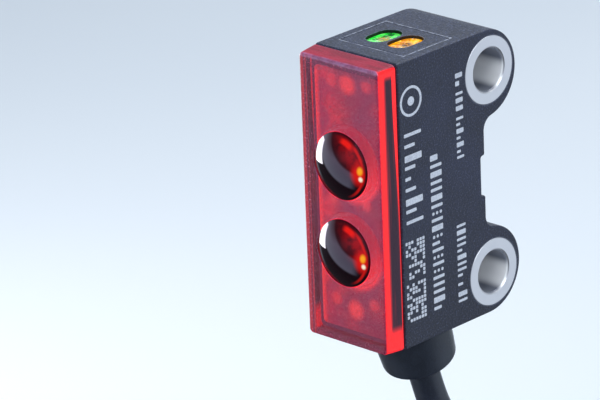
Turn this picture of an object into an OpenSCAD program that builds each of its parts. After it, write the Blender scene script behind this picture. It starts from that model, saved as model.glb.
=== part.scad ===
// Miniature photoelectric sensor with a moulded-in cable and a small round connector.
// Frame: +X is the marked side, -Y is the optical face, +Z is up.
// Origin: midway between the two fixing holes, halfway across the width.

/* [Housing] */
// Width across the two flat sides, along X
body_w = 8; // [7.9:0.1:8.2]
// Height from the bottom face to the top face
body_h = 21.9; // [21.9:0.1:22.3]
// Distance from the fixing hole axis forward to the edge of the housing
front_reach = 9.78; // [9.7:0.02:9.9]
// Distance from the fixing hole axis forward to the back wall between the ears
back_reach = 0.63; // [0.55:0.01:0.7]
// Thickness of the side, top and bottom walls
wall = 0.8; // [0.7:0.05:0.9]
// Depth of the shallow recess across the back wall
recess_depth = 0.42; // [0.2:0.02:0.5]
// Height of that recess
recess_h = 3.1; // [2:0.1:4]

/* [Fixing ears] */
// Distance between the two fixing holes
hole_pitch = 15.7; // [15.5:0.1:15.9]
// Diameter of the fixing holes, for M3 screws
hole_d = 3.2; // [3.1:0.05:3.4]
// Outer diameter of the metal bushes
bush_d = 5.2; // [5:0.1:5.3]
// Width of the chamfer at each mouth of a bush
bush_chamfer = 0.15; // [0.1:0.01:0.2]
// Distance from the hole axis back to the tip of an ear
ear_reach = 2.95; // [2.9:0.01:3.1]
// Radius of an ear's outline
ear_r = 3.35; // [3.3:0.01:3.45]
// Radius of the fillet between an ear and the back wall
ear_root_r = 1; // [0.8:0.1:1.2]

/* [Front window] */
// Depth of the window cover, front to back
window_depth = 1.76; // [1.7:0.02:1.8]
// Thickness of its front wall
window_wall = 0.8; // [0.7:0.05:0.9]
// Draft of its sides, each
window_draft = 0.2; // [0.1:0.05:0.25]
// Height of the gap between the cover and the housing, filled by the seal
seam = 0.16; // [0.14:0.02:0.2]

/* [Optics] */
// Height of the upper, receiving lens
receiver_z = 2.95; // [2.9:0.05:3]
// Height of the lower, emitting lens
emitter_z = -3.75; // [-3.8:0.05:-3.7]
// Diameter of both lenses
lens_d = 5.1; // [5:0.05:5.15]
// How far a lens dome stands out of the window
lens_rise = 0.75; // [0.6:0.05:0.9]

/* [Indicators] */
// Width of the insert in the top face
insert_w = 6.1; // [6:0.1:6.4]
// Length of the insert in the top face
insert_l = 4.9; // [4.8:0.1:5.2]
// Width of one light window
light_w = 1.9; // [1.7:0.05:1.9]
// Length of one light window
light_l = 3.05; // [2.9:0.05:3.2]
// Distance of each light window's centre from the middle
light_x = 1.05; // [1.05:0.05:1.2]

/* [Cable] */
// Diameter of the cable
cable_d = 2.4; // [2.3:0.1:2.4]
// Angle of the cable boot from the vertical, in degrees
boot_tilt = 18; // [17.5:0.5:18.5]
// Length of the boot along its own axis
boot_l = 3.75; // [3.7:0.01:3.8]
// Radius of the boot where it meets the housing
boot_r = 3.1; // [3:0.05:3.15]
// Mean radius of the tied coil
coil_r = 12; // [11.9:0.1:12.1]

/* [Connector] */
// Diameter of the moulded grip
grip_d = 8.8; // [8.4:0.1:9]
// Diameter over the ridges of the coupling sleeve
knurl_d = 9.7; // [9.5:0.1:9.8]
// Outer diameter of the coupling thread, M8
thread_d = 7.9; // [7.8:0.05:8]
// Number of ridges round the coupling sleeve
ridges = 24; // [18:1:30]

/* [Hidden] */

$fn = 64;

// Small clearance past a face, so that a cut goes right through
past = 1;

// Places along Y, front to back
window_back = -front_reach - seam;
window_front = window_back - window_depth;
pocket_front = window_front + window_wall;
carrier_front = pocket_front + 0.05;
carrier_back = -9.9;
barrel_back = -5.8;
optics_board_y = -5.2;
optics_board_back = -4.6;
bush_wall_y = -3.4;
main_board_y = -2.7;
main_board_back = -2.1;
cavity_back = -1.75;
laser_front = -7.4;
laser_seat = -5.75;
laser_back = -5.35;

// Half sizes
half_w = body_w / 2;
half_h = body_h / 2;
inner_w = half_w - wall;
inner_h = half_h - wall - 0.05;
hole_z = hole_pitch / 2;
ear_y = ear_reach - ear_r;
ear_z = half_h - ear_r;
recess_z = -0.1;
board_half_w = 3.1;

// Height kept solid above and below each bush
bush_room = 3.6;

// Play round a part let into another, and round a lens
fit_gap = 0.06;
lens_gap = 0.05;

// Flange of a lens, which the carrier holds
lens_flange = 0.3;
lens_flange_l = 0.45;

// Circle of the laser's three leads
lead_circle = 0.75;
lead_angles = [90, 210, 330];
lead_r = 0.2;

// Places along Z near the top
insert_y = -5.6;
insert_depth = 0.5;
insert_plug = 1.25;
insert_step = 0.8;
insert_r = 0.2;
insert_plug_r = 0.1;
guide_top = half_h - 0.2;
guide_bottom = 8.75;
led_bottom = 7.9;
led_h = 0.75;
indicator_board_z = 7.4;

// Boot and cable
boot_y = -5.1;
cable_r = cable_d / 2;
boot_neck_r = 1.8;
boot_flange_r = 2.3;
clamp_wall = 0.45;

// The tied coil: it turns about an axis along X
coil_y = -4;
coil_z = -34.5;
coil_side = 2.55;
tie_angle = 10;
tie_band = 2.6;
tie_thickness = 0.7;

// Connector, on a vertical axis
plug_y = 5.5;
plug_top = -60.5;
grip_top = plug_top - 5.5;
grip_bottom = plug_top - 17.2;
neck_bottom = plug_top - 22;
neck_r = 3.35;
collar_bottom = neck_bottom + 1.3;
collar_h = 0.8;
collar_r = 3.7;
sleeve_gap = 0.07;
sleeve_top = grip_bottom - 0.3;
sleeve_shoulder = sleeve_top - 6;
sleeve_bottom = sleeve_shoulder - 6;
skirt_r = 2.9;
skirt_wall = 0.4;
pin_circle = 1.5;

// Points of the free cable, from the boot to the coil, then from the coil to the connector
lead_points = [
    [0, -3.94, -14.52], [0, -3.4, -16.2], [0, -2.75, -18], [-0.1, -1.9, -19.6], [-0.4, -0.8, -21.05],
    [-1, 0.5, -22.4], [-1.6, 2, -23.9], [-2.1, 3.6, -25.4], [-2.4, 5.1, -26.8],
    [-2.5, 6.4, -28.5]
];
tail_points = [
    [2.6, 7.8, -36.6], [2.6, 7.3, -39.4], [2.5, 6.9, -42.2], [2.2, 6.5, -45],
    [1.7, 6.1, -47.8], [1, 5.8, -50.8], [0.4, 5.6, -53.8], [0.1, 5.5, -57],
    [0, 5.5, -60.5]
];

// Points of the four cores inside, for the first core; the others lie beside it
core_points = [
    [0, -6.12, -7.81], [0, -6.15, -7.6], [0, -6, -7.35], [0, -5.6, -7.15], [0, -5, -7.05],
    [0, -4.3, -6.7], [0, -3.95, -5.9], [0, -3.85, -4.8], [0, -3.55, -4], [0, -3.1, -3.65],
    [0, -2.7, -3.55]
];
core_r = 0.25;
core_gap = 0.62;
core_colors = ["saddlebrown", "white", "royalblue", "dimgray"];

// ---- Shapes used more than once ----

// Extrudes a drawing whose axes are Y and Z, centred across X
module across(length) {
    rotate([90, 0, 90]) linear_extrude(length, center = true) children();
}

// A disc or tube between two depths along Y
module disc_y(r, y0, y1, z = 0, x = 0) {
    translate([x, y1, z]) rotate([90, 0, 0]) cylinder(h = y1 - y0, r = r);
}

// A box from its lowest corner to its highest corner
module block(low, high) {
    translate(low) cube(high - low);
}

module rounded_rect(w, l, r) {
    square([w - 2 * r, l], center = true);
    square([w, l - 2 * r], center = true);
    for (sx = [-1, 1], sy = [-1, 1])
        translate([sx * (w / 2 - r), sy * (l / 2 - r)]) circle(r);
}

module stadium(w, l) {
    square([w, l - w], center = true);
    for (s = [-1, 1])
        translate([0, s * (l - w) / 2]) circle(w / 2);
}

// Cable tube: rings of points square to the route, joined into one closed surface
function unit(v) = v / norm(v);
function heading(p, i) = unit(p[min(i + 1, len(p) - 1)] - p[max(i - 1, 0)]);
function side_of(t) = unit(cross(t, [1, 0, 0]));
function ring_at(c, t, r, n) = [
    for (k = [0 : n - 1])
        c + r * (cos(360 * k / n) * side_of(t) + sin(360 * k / n) * cross(t, side_of(t)))
];

module tube(points, r, sides = 8) {
    rings = [for (i = [0 : len(points) - 1]) each ring_at(points[i], heading(points, i), r, sides)];
    last = (len(points) - 1) * sides;
    walls = [
        for (i = [0 : len(points) - 2], k = [0 : sides - 1])
            [
                i * sides + k, i * sides + (k + 1) % sides,
                (i + 1) * sides + (k + 1) % sides, (i + 1) * sides + k
            ]
    ];
    start_cap = [for (k = [sides - 1 : -1 : 0]) k];
    end_cap = [for (k = [0 : sides - 1]) last + k];
    polyhedron(rings, concat([start_cap, end_cap], walls));
}

// ---- Housing and its metal bushes ----

module ear_outline() {
    root_y = -back_reach + ear_root_r;
    root_reach = ear_r + ear_root_r;
    root_z = ear_z - sqrt(pow(root_reach, 2) - pow(root_y - ear_y, 2));
    translate([ear_y, ear_z]) circle(ear_r);
    translate([-2 * back_reach, ear_z]) square([2 * back_reach + ear_y, ear_r]);
    difference() {
        polygon([
            [-2 * back_reach, root_z], [root_y, root_z], [ear_y, ear_z], [-2 * back_reach, ear_z]
        ]);
        translate([root_y, root_z]) circle(ear_root_r);
    }
}

module side_outline() {
    difference() {
        union() {
            translate([-front_reach, -half_h]) square([front_reach - back_reach, body_h]);
            ear_outline();
            mirror([0, 1]) ear_outline();
        }
        translate([-back_reach - recess_depth, recess_z - recess_h / 2]) square([past, recess_h]);
    }
}

module bush_outer(extra = 0) {
    groove_w = 1.2;
    groove_x = 1.6;
    groove_r = bush_d / 2 - 0.3;
    rotate([0, 90, 0]) difference() {
        cylinder(h = body_w + extra, r = bush_d / 2, center = true);
        for (s = [-1, 1])
            translate([0, 0, s * groove_x]) difference() {
                cylinder(h = groove_w, r = bush_d, center = true);
                cylinder(h = groove_w + past, r = groove_r, center = true);
            }
    }
}

module bush(z) {
    hole_r = hole_d / 2;
    translate([0, 0, z]) difference() {
        bush_outer();
        rotate([0, 90, 0]) cylinder(h = body_w + past, r = hole_r, center = true);
        for (s = [-1, 1])
            rotate([0, s * 90, 0]) translate([0, 0, half_w - bush_chamfer])
                cylinder(h = bush_chamfer, r1 = hole_r, r2 = hole_r + bush_chamfer);
    }
}

module along_boot() {
    translate([0, boot_y, -half_h]) rotate([boot_tilt, 0, 0]) children();
}

module insert_hole() {
    translate([0, insert_y, half_h - insert_depth]) linear_extrude(past)
        rounded_rect(insert_w + fit_gap, insert_l + fit_gap, insert_r);
    translate([0, insert_y, half_h - 2 * wall]) linear_extrude(2 * wall)
        rounded_rect(insert_w - insert_step, insert_l - insert_step, insert_plug_r);
}

module housing() {
    color("#3e4258") difference() {
        across(body_w) side_outline();
        block([-inner_w, -front_reach - past, -inner_h], [inner_w, bush_wall_y, inner_h]);
        block(
            [-inner_w, bush_wall_y - past, bush_room - hole_z],
            [inner_w, cavity_back, hole_z - bush_room]
        );
        insert_hole();
        for (s = [-1, 1])
            translate([0, 0, s * hole_z]) bush_outer(extra = past);
        along_boot() cylinder(h = 6 * wall, r = boot_neck_r, center = true);
    }
}

module upper_bush() {
    color("lightgray") bush(hole_z);
}

module lower_bush() {
    color("lightgray") bush(-hole_z);
}

// ---- Front window and seal ----

module window_outer() {
    narrow = half_w - window_draft;
    low = half_h - window_draft / 2;
    intersection() {
        translate([0, 0, -half_h]) linear_extrude(body_h) polygon([
            [-narrow, window_front], [narrow, window_front],
            [half_w, window_back], [-half_w, window_back]
        ]);
        across(body_w) polygon([
            [window_front, -low], [window_front, low],
            [window_back, half_h], [window_back, -half_h]
        ]);
    }
}

module front_window() {
    pocket_x = 3.3;
    pocket_z = 10.05;
    color("#b01828") difference() {
        window_outer();
        block([-pocket_x, pocket_front, -pocket_z], [pocket_x, window_back + past, pocket_z]);
        for (z = [receiver_z, emitter_z])
            disc_y(lens_d / 2 + lens_gap, window_front - past, window_back, z);
    }
}

module window_seal() {
    outer_x = half_w - 0.35;
    outer_z = half_h - 0.35;
    inner_x = 3.25;
    inner_z = 10;
    color("#111111") difference() {
        block([-outer_x, window_back, -outer_z], [outer_x, -front_reach, outer_z]);
        block([-inner_x, window_back - past, -inner_z], [inner_x, past - front_reach, inner_z]);
    }
}

// ---- Optics ----

module lens(z) {
    rim_r = lens_d / 2;
    dome_r = (pow(rim_r, 2) + pow(lens_rise, 2)) / (2 * lens_rise);
    dome_y = window_front - lens_rise + dome_r;
    intersection() {
        translate([0, dome_y, z]) sphere(dome_r);
        disc_y(rim_r, window_front - past, carrier_front + lens_gap, z);
    }
    disc_y(rim_r + lens_flange, carrier_front, carrier_front + lens_flange_l, z);
}

module receiver_lens() {
    color("#3a0710") lens(receiver_z);
}

module emitter_lens() {
    color("#3a0710") lens(emitter_z);
}

module optics_carrier() {
    frame_x = 3.2;
    frame_z = 9.95;
    seat_r = lens_d / 2 + lens_flange + lens_gap;
    barrel_r = 3.05;
    barrel_bore_r = 2.25;
    dimple_r = 0.55;
    dimple_depth = 0.4;
    color("#5a1020") difference() {
        union() {
            block([-frame_x, carrier_front, -frame_z], [frame_x, carrier_back, frame_z]);
            for (z = [receiver_z, emitter_z])
                disc_y(barrel_r, carrier_front, barrel_back, z);
        }
        for (z = [receiver_z, emitter_z]) {
            disc_y(seat_r, carrier_front - past, carrier_front + lens_flange_l, z);
            disc_y(barrel_bore_r, carrier_front, barrel_back + past, z);
        }
        for (z = [-8.4, 9.05])
            disc_y(dimple_r, carrier_back - dimple_depth, carrier_back + past, z);
    }
}

module light_baffle() {
    middle = (receiver_z + emitter_z) / 2;
    baffle_x = 3;
    baffle_z = 0.18;
    baffle_back = optics_board_y - 0.1;
    color("#202020")
        block([-baffle_x, carrier_back, middle - baffle_z], [baffle_x, baffle_back, middle + baffle_z]);
}

module receiver_aperture() {
    stop_r = 2.2;
    opening_r = 0.7;
    stop_back = barrel_back - 0.1;
    stop_l = 0.3;
    color("#181818") difference() {
        disc_y(stop_r, stop_back - stop_l, stop_back, receiver_z);
        disc_y(opening_r, barrel_back - past, barrel_back + past, receiver_z);
    }
}

module laser_diode() {
    flange_r = 1.65;
    can_r = 1.2;
    opening_r = 0.5;
    opening_depth = 0.2;
    color("goldenrod") difference() {
        union() {
            disc_y(flange_r, laser_seat, laser_back, emitter_z);
            disc_y(can_r, laser_front, laser_seat, emitter_z);
        }
        disc_y(opening_r, laser_front - past, laser_front + opening_depth, emitter_z);
    }
}

module laser_leads() {
    leads_back = -4;
    color("gold") for (a = lead_angles)
        disc_y(lead_r, laser_back, leads_back, emitter_z + lead_circle * sin(a), lead_circle * cos(a));
}

module laser_holder() {
    holder_r = 2.2;
    holder_bore_r = 1.25;
    holder_front = -6.9;
    color("peru") difference() {
        disc_y(holder_r, holder_front, laser_seat, emitter_z);
        disc_y(holder_bore_r, holder_front - past, laser_seat + past, emitter_z);
    }
}

module receiver_chip() {
    half_x = 0.9;
    half_z = 1.1;
    color("#2b2b33")
        block([-half_x, laser_seat, receiver_z - half_z], [half_x, optics_board_y, receiver_z + half_z]);
}

// ---- Circuit boards ----

module optics_board() {
    low_z = -6.4;
    high_z = 6.9;
    lead_hole_r = lead_r + 0.04;
    color("darkgreen") difference() {
        block([-board_half_w, optics_board_y, low_z], [board_half_w, optics_board_back, high_z]);
        for (a = lead_angles)
            disc_y(
                lead_hole_r, optics_board_y - past, optics_board_back + past,
                emitter_z + lead_circle * sin(a), lead_circle * cos(a)
            );
    }
}

module main_board() {
    half_z = 4.05;
    color("darkgreen")
        block([-board_half_w, main_board_y, -half_z], [board_half_w, main_board_back, half_z]);
}

// A component soldered to the front of the main board
module on_board(x, z, w, h, height) {
    block([x - w / 2, main_board_y - height, z - h / 2], [x + w / 2, main_board_y, z + h / 2]);
}

module control_chip() {
    color("#222222") on_board(x = 0, z = -0.2, w = 3.2, h = 3.2, height = 0.7);
}

module output_transistors() {
    color("#2a2a2a") for (x = [-2.3, 2.3])
        on_board(x = x, z = -0.6, w = 1.1, h = 1.6, height = 0.6);
}

module capacitors() {
    color("tan") for (x = [-2.4, 2.4], z = [1.2, 2.4])
        on_board(x = x, z = z, w = 1, h = 0.56, height = 0.45);
}

module board_pins() {
    pin_r = 0.2;
    pin_z = 3.5;
    pin_pitch = 1.27;
    color("gold") for (k = [-1.5 : 1 : 1.5])
        disc_y(pin_r, optics_board_back, main_board_y, pin_z, k * pin_pitch);
}

module emc_shield() {
    half_x = 3;
    low_z = -2.4;
    high_z = 2.6;
    front = -4;
    sheet = 0.15;
    foot_h = 0.8;
    color("silver") {
        block([-half_x, front, low_z], [half_x, front + sheet, high_z]);
        for (x = [-half_x, half_x - sheet])
            block([x, front + sheet, low_z], [x + sheet, main_board_y, low_z + foot_h]);
    }
}

module indicator_board() {
    half_x = 2.6;
    front = -8;
    back = -3.6;
    color("darkgreen") block([-half_x, front, indicator_board_z], [half_x, back, led_bottom]);
}

module flex_strip() {
    half_x = 1.2;
    low_z = 5.4;
    thickness = 0.2;
    high = [half_x, optics_board_back + thickness, indicator_board_z];
    color("darkorange")
        block([-half_x, optics_board_back, low_z], high);
}

module led(x) {
    half_x = 0.5;
    half_y = 0.9;
    block(
        [x - half_x, insert_y - half_y, led_bottom],
        [x + half_x, insert_y + half_y, led_bottom + led_h]
    );
}

module green_led() {
    color("honeydew") led(-light_x);
}

module amber_led() {
    color("cornsilk") led(light_x);
}

module light_guide(x) {
    translate([x, insert_y, guide_bottom]) linear_extrude(guide_top - guide_bottom)
        stadium(light_w - fit_gap, light_l - fit_gap);
}

module green_light_guide() {
    color("lime") light_guide(-light_x);
}

module amber_light_guide() {
    color("orange") light_guide(light_x);
}

module indicator_cover() {
    color("#4a4e64") difference() {
        union() {
            translate([0, insert_y, half_h - insert_depth]) linear_extrude(insert_depth)
                rounded_rect(insert_w, insert_l, insert_r);
            translate([0, insert_y, half_h - insert_plug]) linear_extrude(insert_plug - insert_depth)
                rounded_rect(
                    insert_w - insert_step - fit_gap, insert_l - insert_step - fit_gap, insert_plug_r
                );
        }
        for (s = [-1, 1])
            translate([s * light_x, insert_y, half_h - 2 * past]) linear_extrude(3 * past)
                stadium(light_w, light_l);
    }
}

// ---- Cable entry ----

module boot_outline() {
    tip_r = 2.8;
    round_r = 0.4;
    sunk = 2;
    polygon([
        [0, sunk], [boot_r + 0.1, sunk], [tip_r, round_r - boot_l],
        [tip_r - round_r, -boot_l], [0, -boot_l]
    ]);
    translate([tip_r - round_r, round_r - boot_l]) circle(round_r);
}

module cable_boot() {
    neck_low = -0.4;
    flange_low = 2.1;
    flange_h = 0.4;
    below = 20;
    color("#1c1c22") difference() {
        union() {
            intersection() {
                along_boot() rotate_extrude() boot_outline();
                translate([0, 0, -half_h - below / 2]) cube(below, center = true);
            }
            along_boot() translate([0, 0, neck_low])
                cylinder(h = flange_low - neck_low + 0.1, r = boot_neck_r - 0.02);
            along_boot() translate([0, 0, flange_low]) cylinder(h = flange_h, r = boot_flange_r);
        }
        along_boot() cylinder(h = 4 * boot_l, r = cable_r, center = true);
    }
}

module cable_inner_end() {
    inner_l = 3.3;
    color("#1c1c22")
        along_boot() translate([0, 0, -boot_l]) cylinder(h = boot_l + inner_l, r = cable_r);
}

module cable_clamp() {
    clamp_low = 2.55;
    clamp_l = 0.6;
    color("silver") along_boot() translate([0, 0, clamp_low]) difference() {
        cylinder(h = clamp_l, r = cable_r + clamp_wall);
        translate([0, 0, -past]) cylinder(h = clamp_l + 2 * past, r = cable_r + 0.01);
    }
}

module inner_wires() {
    for (k = [0 : 3])
        color(core_colors[k]) translate([(k - 1.5) * core_gap, 0, 0]) tube(core_points, core_r, sides = 6);
}

// ---- Free cable, coil and tie ----

module cable_lead() {
    color("#1c1c22") tube(lead_points, cable_r);
}

module cable_tail() {
    color("#1c1c22") tube(tail_points, cable_r);
}

module about_coil() {
    translate([0, coil_y, coil_z]) rotate([0, 90, 0]) children();
}

module cable_coil() {
    color("#1c1c22") about_coil() rotate_extrude() translate([coil_r, 0]) {
        square([cable_d, 2 * coil_side], center = true);
        for (s = [-1, 1])
            translate([0, s * coil_side]) circle(cable_r);
    }
}

// Coordinates at the tie: X across the coil, Y outward from the coil's axis
module at_tie() {
    translate([0, coil_y, coil_z]) rotate([tie_angle, 0, 0]) translate([0, coil_r, 0]) children();
}

module cable_tie() {
    hole_x = coil_side + cable_r + 0.05;
    hole_y = cable_r + 0.1;
    head = [3.2, 2, 3.6];
    head_x = 1;
    color("#0c0c0c") at_tie() {
        difference() {
            cube([2 * (hole_x + tie_thickness), 2 * (hole_y + tie_thickness), tie_band], center = true);
            cube([2 * hole_x, 2 * hole_y, tie_band + past], center = true);
        }
        translate([head_x, -hole_y - tie_thickness - head.y / 2, 0]) cube(head, center = true);
    }
}

// ---- Round connector ----

// Moves a shape drawn about the connector's axis to its place
module at_plug(z) {
    translate([0, plug_y, z]) children();
}

module connector_body() {
    cone_r = 3.2;
    cone_tip_r = cable_r + 0.5;
    shoulder = 0.6;
    grooves = 5;
    groove_pitch = 1.8;
    groove_first = 2;
    groove_w = 0.7;
    groove_depth = 0.35;
    color("#1c1c22") difference() {
        union() {
            at_plug(grip_top) cylinder(h = plug_top - grip_top, r1 = cone_r, r2 = cone_tip_r);
            at_plug(grip_bottom) cylinder(h = grip_top - grip_bottom - shoulder, r = grip_d / 2);
            at_plug(grip_top - shoulder) cylinder(h = shoulder, r1 = grip_d / 2, r2 = grip_d / 2 - shoulder);
            at_plug(neck_bottom) cylinder(h = grip_bottom - neck_bottom, r = neck_r);
            at_plug(collar_bottom) cylinder(h = collar_h, r = collar_r);
        }
        for (k = [0 : grooves - 1])
            at_plug(grip_bottom + groove_first + groove_pitch * k) difference() {
                cylinder(h = groove_w, r = grip_d);
                translate([0, 0, -past]) cylinder(h = 3 * past, r = grip_d / 2 - groove_depth);
            }
    }
}

module contact_carrier() {
    skirt_bottom = sleeve_bottom + 0.4;
    floor_h = 1.4;
    key_w = 0.8;
    key_l = 2.4;
    color("#2a2a2a") difference() {
        at_plug(skirt_bottom) cylinder(h = neck_bottom - skirt_bottom, r = skirt_r);
        at_plug(skirt_bottom - past)
            cylinder(h = neck_bottom - skirt_bottom + past - floor_h, r = skirt_r - skirt_wall);
        translate([-key_w / 2, plug_y - skirt_r - past, skirt_bottom - past])
            cube([key_w, 2 * past, key_l + past]);
        contact_pin_set();
    }
}

module contact_pin_set() {
    pin_r = 0.4;
    pin_bottom = sleeve_bottom + 0.9;
    for (a = [45 : 90 : 315])
        translate([pin_circle * cos(a), plug_y + pin_circle * sin(a), pin_bottom])
            cylinder(h = neck_bottom - pin_bottom, r = pin_r, $fn = 24);
}

module contact_pins() {
    color("gold") contact_pin_set();
}

module coupling_sleeve() {
    groove_r = thread_d / 2 - 0.55;
    groove_w = 1;
    ridge_r = 0.35;
    ridge_h = 0.25;
    end_play = 0.15;
    color("silver") difference() {
        union() {
            at_plug(sleeve_shoulder) linear_extrude(sleeve_top - sleeve_shoulder) {
                circle(knurl_d / 2 - ridge_h);
                for (k = [0 : ridges - 1])
                    rotate(k * 360 / ridges) translate([knurl_d / 2 - ridge_r, 0]) circle(ridge_r, $fn = 24);
            }
            at_plug(sleeve_shoulder - groove_w) cylinder(h = groove_w, r = groove_r);
            at_plug(sleeve_bottom)
                cylinder(h = sleeve_shoulder - groove_w - sleeve_bottom, r = thread_d / 2);
        }
        at_plug(sleeve_bottom - past)
            cylinder(h = sleeve_top - sleeve_bottom + 2 * past, r = skirt_r + sleeve_gap);
        at_plug(neck_bottom - 0.2) cylinder(h = sleeve_top - neck_bottom + past, r = neck_r + sleeve_gap);
        at_plug(collar_bottom - end_play)
            cylinder(h = collar_h + 2 * end_play, r = collar_r + sleeve_gap);
    }
}

module connector_seal() {
    ring_r = 0.4;
    ring_z = sleeve_shoulder - 0.5;
    ring_middle = thread_d / 2 - 0.15;
    color("#b02020")
        at_plug(ring_z) rotate_extrude() translate([ring_middle, 0]) circle(ring_r, $fn = 24);
}

housing();
front_window();
window_seal();
receiver_lens();
emitter_lens();
optics_carrier();
light_baffle();
receiver_aperture();
laser_diode();
laser_leads();
laser_holder();
receiver_chip();
optics_board();
main_board();
control_chip();
output_transistors();
capacitors();
board_pins();
emc_shield();
indicator_board();
flex_strip();
indicator_cover();
green_light_guide();
amber_light_guide();
green_led();
amber_led();
upper_bush();
lower_bush();
cable_boot();
cable_inner_end();
cable_clamp();
inner_wires();
cable_lead();
cable_coil();
cable_tail();
cable_tie();
connector_body();
contact_carrier();
contact_pins();
connector_seal();
coupling_sleeve();
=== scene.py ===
"""Looks of a miniature photoelectric sensor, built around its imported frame.

The frame: +X is the marked side, -Y the optical face, +Z up. The origin is midway between the two
fixing holes, halfway across the width. Shapes are written in millimetres and made in metres.
"""
import random
from math import atan2, cos, degrees, pi, radians, sin, sqrt

import bmesh
import bpy
from mathutils import Matrix, Vector


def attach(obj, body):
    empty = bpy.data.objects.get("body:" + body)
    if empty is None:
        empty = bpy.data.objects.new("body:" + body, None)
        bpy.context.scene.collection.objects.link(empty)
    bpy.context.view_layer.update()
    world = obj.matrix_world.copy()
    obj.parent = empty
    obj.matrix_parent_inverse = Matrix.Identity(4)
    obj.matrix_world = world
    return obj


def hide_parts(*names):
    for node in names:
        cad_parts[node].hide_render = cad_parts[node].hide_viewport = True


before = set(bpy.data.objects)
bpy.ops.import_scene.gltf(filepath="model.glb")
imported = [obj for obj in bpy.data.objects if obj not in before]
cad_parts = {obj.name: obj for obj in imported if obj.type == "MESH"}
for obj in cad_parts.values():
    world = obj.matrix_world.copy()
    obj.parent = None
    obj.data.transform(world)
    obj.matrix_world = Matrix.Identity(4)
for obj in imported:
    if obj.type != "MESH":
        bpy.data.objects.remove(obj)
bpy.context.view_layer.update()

MM = 0.001
scene = bpy.context.scene
scene.view_settings.view_transform = "Standard"

# ---- Sizes, as in the frame ----

HALF_W = 4.0
HALF_H = 10.95
FRONT_Y = -9.78
BACK_Y = -0.63
HOLE_Z = 7.85
HOLE_R = 1.6
BUSH_R = 2.6
EAR_Y = -0.4
EAR_Z = 7.6
EAR_R = 3.35
ROOT_R = 1.0
WINDOW_BACK = -9.94
WINDOW_FRONT = -11.7
POCKET_FRONT = -10.9
RECEIVER_Z = 2.95
EMITTER_Z = -3.75
LENS_R = 2.55
LENS_RISE = 0.75
INSERT_Y = -5.6
INSERT_X, INSERT_L = 3.05, 2.45
LIGHT_X, LIGHT_R, LIGHT_L = 1.05, 0.95, 1.525
GUIDE_TOP = 10.75
BOOT_TOP = (0.0, -5.1, -HALF_H)
BOOT_TILT = 18
BOOT_L = 3.75
CABLE_R = 1.2
COIL_Y, COIL_Z, COIL_R = -4.0, -34.5, 12.0
PLUG_Y = 5.5
PLUG_TOP = -60.5



def add_object(name, data):
    made = bpy.data.objects.new(name, data)
    scene.collection.objects.link(made)
    return made


# ---- Camera ----


def make_camera():
    """The viewpoint: a long lens, 44 degrees round from the front and 21 above."""
    azimuth, elevation, roll = radians(44.076), radians(20.644), radians(-2.275)
    back = Vector((sin(azimuth) * cos(elevation), -cos(azimuth) * cos(elevation), sin(elevation)))
    level = Vector((cos(azimuth), sin(azimuth), 0))
    upright = back.cross(level)
    right = level * cos(roll) + upright * sin(roll)
    up = upright * cos(roll) - level * sin(roll)
    target = Vector((0, -5.7, -0.55))
    place = (target + back * 343.377 - right * 7.167 - up * 0.833) * MM
    data = bpy.data.cameras.new("camera")
    data.lens = 283.09
    data.sensor_width = 36
    data.clip_start = 0.01
    data.clip_end = 20
    camera = add_object("camera", data)
    turn = Matrix((right, up, back)).transposed().to_4x4()
    camera.matrix_world = Matrix.Translation(place) @ turn
    scene.camera = camera


make_camera()

# ---- Material tools ----


class Field:
    """A number that varies over a surface, made of shader nodes."""

    def __init__(self, tree, socket):
        self.tree = tree
        self.socket = socket

    def math(self, operation, *others):
        node = self.tree.nodes.new("ShaderNodeMath")
        node.operation = operation
        for place, value in zip(node.inputs, (self, *others)):
            feed(self.tree, place, value)
        return Field(self.tree, node.outputs[0])

    def __add__(self, other):
        return self.math("ADD", other)

    def __sub__(self, other):
        return self.math("SUBTRACT", other)

    def __mul__(self, other):
        return self.math("MULTIPLY", other)

    def abs(self):
        return self.math("ABSOLUTE")

    def max(self, other):
        return self.math("MAXIMUM", other)

    def min(self, other):
        return self.math("MINIMUM", other)

    def far(self, *others):
        """Distance from zero, with this and the others as coordinates."""
        total = self * self
        for other in others:
            total = total + other * other
        return total.math("SQRT")

    def step(self, start, end, low=0.0, high=1.0):
        """low up to start, high from end on, smooth between."""
        node = self.tree.nodes.new("ShaderNodeMapRange")
        node.interpolation_type = "SMOOTHSTEP"
        for name, value in (("Value", self), ("From Min", start), ("From Max", end),
                            ("To Min", low), ("To Max", high)):
            feed(self.tree, node.inputs[name], value)
        return Field(self.tree, node.outputs["Result"])

    def span(self, low=0.0, high=1.0):
        """low to high over the range that a noise mostly takes."""
        return self.step(0.3, 0.7, low, high)

    def between(self, start, end, soft=0.05):
        """1 between start and end, with soft borders."""
        return self.step(start - soft, start + soft) * self.step(end + soft, end - soft)


def feed(tree, socket, value):
    """Links or sets a socket. A colour is given in 0..255 screen values, or linear if none is over 1."""
    if isinstance(value, Field):
        tree.links.new(value.socket, socket)
    elif isinstance(value, bpy.types.NodeSocket):
        tree.links.new(value, socket)
    elif socket.type == "RGBA":
        socket.default_value = (*(srgb(*value) if max(value) > 1 else value), 1)
    else:
        socket.default_value = value


def srgb(red, green, blue):
    """Linear colour of 0..255 screen values."""
    return tuple(v / 255 / 12.92 if v < 10.3 else ((v / 255 + 0.055) / 1.055) ** 2.4
                 for v in (red, green, blue))


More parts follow.
